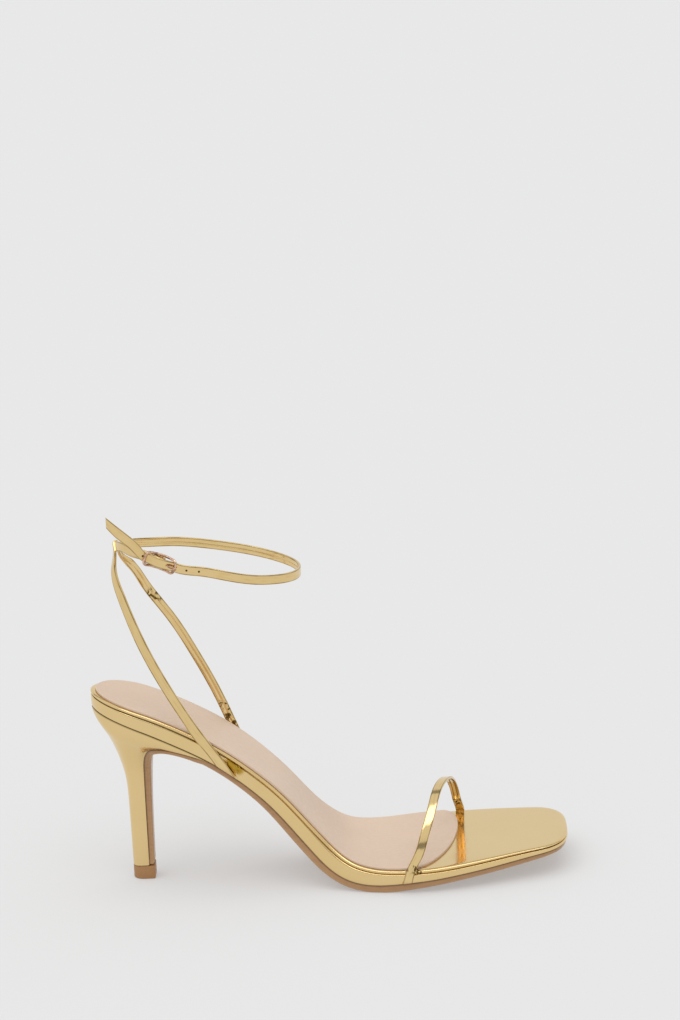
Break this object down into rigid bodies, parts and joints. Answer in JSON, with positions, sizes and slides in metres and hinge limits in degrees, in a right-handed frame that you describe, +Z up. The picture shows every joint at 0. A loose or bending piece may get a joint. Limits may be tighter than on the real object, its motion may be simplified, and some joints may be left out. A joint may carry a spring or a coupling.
{
  "type": "strappy heeled sandal",
  "caption": "High-heeled sandal with a narrow toe strap, a sling from the arch and a buckled ankle strap, all in smooth metallic leather.",
  "frame": {"origin": "centre of the underside of the heel's wearing piece, on the floor", "axes": "+X runs level from the heel to the toe, +Y to the inner side of the foot, +Z up"},
  "size_m": [0.2181, 0.0801, 0.1816],
  "materials": {
    "outsole": "semi-gloss",
    "top_piece": "satin",
    "midsole": "metallic gloss",
    "insole": "metallic gloss",
    "sock_lining": "matt",
    "heel": "metallic gloss",
    "toe_strap": "metallic gloss",
    "ankle_straps": "metallic gloss",
    "buckle_frame": "polished",
    "buckle_prong": "polished"
  },
  "bodies": {
    "root": {"outsole": "outsole", "top_piece": "top_piece", "midsole": "midsole", "insole": "insole", "sock_lining": "sock_lining", "heel": "heel", "toe_strap": "toe_strap", "ankle_straps": "ankle_straps", "buckle_frame": "buckle_frame", "buckle_prong": "buckle_prong"}
  },
  "joints": []
}
